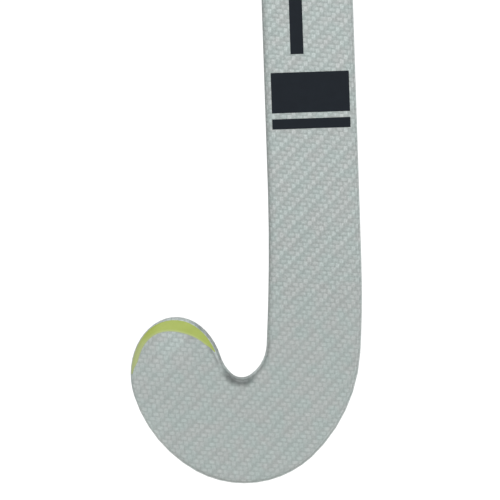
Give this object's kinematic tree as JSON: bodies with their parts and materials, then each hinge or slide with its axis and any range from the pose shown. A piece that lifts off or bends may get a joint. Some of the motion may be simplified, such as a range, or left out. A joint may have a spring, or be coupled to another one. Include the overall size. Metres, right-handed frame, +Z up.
{
  "type": "field hockey stick",
  "caption": "Composite field hockey stick with a hooked flat-faced head, a bowed D-section shaft, a bevelled toe and a wound grip.",
  "frame": {"origin": "under the middle of the whole stick's box, at the height of the sole's lowest point", "axes": "+Z up along the shaft towards the butt, the playing face looks towards -Y, the toe points towards -X"},
  "size_m": [0.1174, 0.0418, 0.927],
  "materials": {
    "silver_laminate": "satin lacquer over a woven outer ply",
    "foam_core": "closed-cell foam",
    "core_laminate": "unpainted laminate",
    "plug_wood": "turned",
    "cap_rubber": "matt",
    "cushion": "foam-backed",
    "grip": "tacky synthetic",
    "finishing": "stretched vinyl",
    "lime_film": "satin",
    "navy_film": "satin"
  },
  "bodies": {
    "root": {"shell": "silver_laminate", "head_core": "foam_core", "core_tube_toe_side": "core_laminate", "core_tube_heel_side": "core_laminate", "butt_plug": "plug_wood", "butt_cap": "cap_rubber", "grip_underlay": "cushion", "grip_tape": "grip", "finishing_tape": "finishing", "toe_bevel_film": "lime_film", "band_decal": "navy_film", "stripe_decal": "navy_film"}
  },
  "joints": []
}
